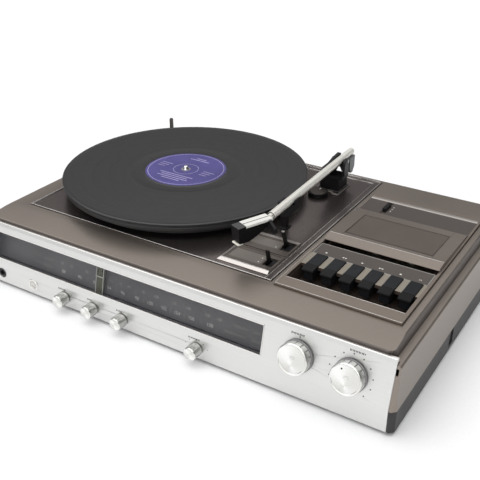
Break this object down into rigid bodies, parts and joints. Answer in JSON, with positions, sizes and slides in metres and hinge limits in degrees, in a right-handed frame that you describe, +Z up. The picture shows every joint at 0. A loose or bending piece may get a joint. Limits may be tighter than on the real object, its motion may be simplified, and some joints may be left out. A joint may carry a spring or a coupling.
{
  "type": "stereo music centre",
  "caption": "Low stereo music centre: record deck with tonearm, cassette module with piano keys, long radio dial and knobs on a silver fascia.",
  "frame": {"origin": "on the table, under the middle of the whole object's box", "axes": "+X to the right of a user facing the fascia, +Y from the fascia to the rear, +Z up"},
  "size_m": [0.528, 0.368, 0.1284],
  "materials": {
    "base_black": "fine-textured black moulding",
    "rubber": "matt black rubber",
    "housing_taupe": "metallic taupe lacquer on moulded plastic",
    "rear_board": "dark brown-black rear panel",
    "screw_steel": "plated steel",
    "socket_black": "black sockets and bush",
    "hinge_black": "black hinge moulding",
    "hinge_leaf": "dark lacquered sheet steel",
    "fascia_aluminium": "satin anodised aluminium",
    "dial_glass": "clear grey-tinted dial glass",
    "dial_black": "blue-black dial plate with pale plain numbers",
    "rail_steel": "drawn steel rod",
    "pointer_clear": "olive-clear pointer",
    "works_grey": "plated housings of pots and gang",
    "works_cream": "cream nylon",
    "knob_aluminium": "spun and turned aluminium",
    "button_chrome": "polished button",
    "deck_metal": "metallic grey-brown deck lacquer with bright edge",
    "island_metal": "metallic taupe with bright bevel",
    "platter_grey": "dark cast platter",
    "mat_rubber": "ribbed rubber mat",
    "vinyl": "grooved black vinyl with indigo label",
    "spindle_steel": "polished steel",
    "belt_rubber": "flat ground belt",
    "motor_steel": "plated motor can",
    "pulley_brass": "turned brass",
    "arm_black": "satin black moulding",
    "arm_tube": "cream-silver tube",
    "head_silver": "brushed top plate",
    "cartridge_black": "black cartridge body",
    "weight_grey": "grey lacquered weight",
    "lever_black": "black lever",
    "frame_taupe": "metallic taupe with bright front edge",
    "panel_dark": "dark anodised strip with bright line",
    "door_taupe": "metallic taupe door",
    "window_smoke": "smoked acrylic",
    "key_black": "blue-black moulded keys",
    "chassis_black": "black tape chassis",
    "hub_cream": "cream hubs",
    "head_metal": "plated head carriage",
    "board_brown": "phenolic board with parts",
    "iron_core": "laminated core and windings"
  },
  "bodies": {
    "root": {"base_tray": "base_black", "rubber_feet": "rubber", "housing": "housing_taupe", "rear_panel": "rear_board", "case_screws": "screw_steel", "sockets": "socket_black", "hinge_blocks": "hinge_black", "fascia_panel": "fascia_aluminium", "dial_glass": "dial_glass", "dial_plate": "dial_black", "pointer_rail": "rail_steel", "control_units": "works_grey", "deck_plate": "deck_metal", "control_island": "island_metal", "centre_spindle": "spindle_steel", "drive_belt": "belt_rubber", "deck_motor": "motor_steel", "arm_base": "arm_black", "arm_rest": "arm_black", "cassette_frame": "frame_taupe", "tape_panel": "panel_dark", "label_strip": "panel_dark", "tape_chassis": "chassis_black", "main_board": "board_brown", "power_transformer": "iron_core"},
    "left_hinge": {"left_hinge_leaf": "hinge_leaf"},
    "right_hinge": {"right_hinge_leaf": "hinge_leaf"},
    "pointer": {"dial_pointer": "pointer_clear"},
    "drum": {"tuning_drum": "works_cream"},
    "tuning": {"tuning_knob": "knob_aluminium"},
    "volume": {"volume_knob": "knob_aluminium"},
    "balance": {"balance_knob": "knob_aluminium"},
    "bass": {"bass_knob": "knob_aluminium"},
    "treble": {"treble_knob": "knob_aluminium"},
    "function": {"function_knob": "knob_aluminium"},
    "power": {"power_button": "button_chrome"},
    "turntable": {"platter": "platter_grey", "platter_mat": "mat_rubber", "record": "vinyl"},
    "pulley": {"motor_pulley": "pulley_brass"},
    "arm_swivel": {"arm_yoke": "arm_black"},
    "arm": {"tonearm_tube": "arm_tube", "headshell": "head_silver", "cartridge": "cartridge_black", "counterweight": "weight_grey"},
    "antiskate": {"antiskate_dial": "lever_black"},
    "start": {"start_lever": "lever_black"},
    "speed": {"speed_lever": "lever_black"},
    "door": {"cassette_door": "door_taupe", "door_window": "window_smoke"},
    "selector": {"selector_slide": "lever_black"},
    "supply": {"supply_hub": "hub_cream"},
    "take_up": {"take_up_hub": "hub_cream"},
    "heads": {"head_carriage": "head_metal"},
    "key_1": {"tape_key_1": "key_black"},
    "key_2": {"tape_key_2": "key_black"},
    "key_3": {"tape_key_3": "key_black"},
    "key_4": {"tape_key_4": "key_black"},
    "key_5": {"tape_key_5": "key_black"},
    "key_6": {"tape_key_6": "key_black"}
  },
  "joints": [
    {"name": "left_hinge_fold", "type": "hinge", "parent": "root", "child": "left_hinge", "pos_m": [-0.2345, 0.1775, 0.077], "axis": [-1, 0, 0], "range_deg": [0, 65]},
    {"name": "right_hinge_fold", "type": "hinge", "parent": "root", "child": "right_hinge", "pos_m": [0.2345, 0.1775, 0.077], "axis": [-1, 0, 0], "range_deg": [0, 65]},
    {"name": "tuning_turn", "type": "hinge", "parent": "root", "child": "tuning", "pos_m": [0.1635, -0.16528, 0.04846], "axis": [0, -0.9744, 0.225], "range_deg": [-774, 1026]},
    {"name": "pointer_slide", "type": "slide", "parent": "root", "child": "pointer", "axis": [1, 0, 0], "range_m": [-0.1355, 0.1795]},
    {"name": "drum_turn", "type": "hinge", "parent": "root", "child": "drum", "pos_m": [0.06, -0.13, 0.044], "axis": [0, -1, 0], "range_deg": [-360, 470]},
    {"name": "volume_turn", "type": "hinge", "parent": "root", "child": "volume", "pos_m": [0.2175, -0.16528, 0.04846], "axis": [0, -0.9744, 0.225], "range_deg": [-40, 240]},
    {"name": "balance_turn", "type": "hinge", "parent": "root", "child": "balance", "pos_m": [-0.128, -0.17, 0.0165], "axis": [0, -1, 0], "range_deg": [-140, 140]},
    {"name": "bass_turn", "type": "hinge", "parent": "root", "child": "bass", "pos_m": [-0.0865, -0.17, 0.0165], "axis": [0, -1, 0], "range_deg": [-140, 140]},
    {"name": "treble_turn", "type": "hinge", "parent": "root", "child": "treble", "pos_m": [-0.0455, -0.17, 0.0165], "axis": [0, -1, 0], "range_deg": [-140, 140]},
    {"name": "function_turn", "type": "hinge", "parent": "root", "child": "function", "pos_m": [0.0516, -0.17, 0.0165], "axis": [0, -1, 0], "range_deg": [-60, 60]},
    {"name": "power_push", "type": "slide", "parent": "root", "child": "power", "axis": [0, 1, 0], "range_m": [0, 0.0035], "stiffness_N_per_m": 300},
    {"name": "platter_spin", "type": "hinge", "parent": "root", "child": "turntable", "pos_m": [-0.101, 0.029, 0.1], "axis": [0, 0, 1], "continuous": true},
    {"name": "pulley_spin", "type": "hinge", "parent": "root", "child": "pulley", "pos_m": [-0.179, -0.049, 0.09], "axis": [0, 0, 1], "continuous": true},
    {"name": "arm_swing", "type": "hinge", "parent": "root", "child": "arm_swivel", "pos_m": [0.067, 0.116, 0.124], "axis": [0, 0, -1], "range_deg": [0, 43]},
    {"name": "arm_lift", "type": "hinge", "parent": "arm_swivel", "child": "arm", "pos_m": [0.067, 0.116, 0.124], "axis": [-0.9996, -0.0279, 0], "range_deg": [0, 10]},
    {"name": "antiskate_turn", "type": "hinge", "parent": "root", "child": "antiskate", "pos_m": [0.052, 0.09, 0.085], "axis": [0, 0, 1], "range_deg": [-150, 150]},
    {"name": "start_throw", "type": "hinge", "parent": "root", "child": "start", "pos_m": [0.0848, -0.0815, 0.076], "axis": [1, 0, 0], "range_deg": [-12, 12]},
    {"name": "speed_throw", "type": "hinge", "parent": "root", "child": "speed", "pos_m": [0.0832, -0.0415, 0.076], "axis": [1, 0, 0], "range_deg": [-12, 12]},
    {"name": "door_open", "type": "hinge", "parent": "root", "child": "door", "pos_m": [0.1765, 0.0745, 0.0838], "axis": [-1, 0, 0], "range_deg": [0, 60]},
    {"name": "key_1_press", "type": "hinge", "parent": "root", "child": "key_1", "pos_m": [0.12645, -0.036, 0.076], "axis": [1, 0, 0], "range_deg": [0, 7.5], "stiffness_Nm_per_rad": 1.5, "springref_deg": -1.15},
    {"name": "key_2_press", "type": "hinge", "parent": "root", "child": "key_2", "pos_m": [0.14715, -0.036, 0.076], "axis": [1, 0, 0], "range_deg": [0, 7.5], "stiffness_Nm_per_rad": 1.5, "springref_deg": -1.15},
    {"name": "key_3_press", "type": "hinge", "parent": "root", "child": "key_3", "pos_m": [0.16785, -0.036, 0.076], "axis": [1, 0, 0], "range_deg": [0, 7.5], "stiffness_Nm_per_rad": 1.5, "springref_deg": -1.15},
    {"name": "key_4_press", "type": "hinge", "parent": "root", "child": "key_4", "pos_m": [0.18855, -0.036, 0.076], "axis": [1, 0, 0], "range_deg": [0, 7.5], "stiffness_Nm_per_rad": 1.5, "springref_deg": -1.15},
    {"name": "key_5_press", "type": "hinge", "parent": "root", "child": "key_5", "pos_m": [0.20925, -0.036, 0.076], "axis": [1, 0, 0], "range_deg": [0, 7.5], "stiffness_Nm_per_rad": 1.5, "springref_deg": -1.15},
    {"name": "key_6_press", "type": "hinge", "parent": "root", "child": "key_6", "pos_m": [0.22995, -0.036, 0.076], "axis": [1, 0, 0], "range_deg": [0, 7.5], "stiffness_Nm_per_rad": 1.5, "springref_deg": -1.15},
    {"name": "selector_slide_move", "type": "slide", "parent": "root", "child": "selector", "axis": [0, 1, 0], "range_m": [-0.0055, 0.0055]},
    {"name": "supply_spin", "type": "hinge", "parent": "root", "child": "supply", "pos_m": [0.15525, 0.035, 0.066], "axis": [0, 0, 1], "continuous": true},
    {"name": "take_up_spin", "type": "hinge", "parent": "root", "child": "take_up", "pos_m": [0.19775, 0.035, 0.066], "axis": [0, 0, 1], "continuous": true},
    {"name": "heads_advance", "type": "slide", "parent": "root", "child": "heads", "axis": [0, 1, 0], "range_m": [0, 0.003]}
  ],
  "couplings": [
    {"joint": "pointer_slide", "follows": "tuning_turn", "m_per_rad": 0.01},
    {"joint": "drum_turn", "follows": "tuning_turn", "ratio": 0.4545},
    {"joint": "pulley_spin", "follows": "platter_spin", "ratio": 11.94},
    {"joint": "heads_advance", "follows": "key_3_press", "m_per_rad": 0.02215}
  ]
}
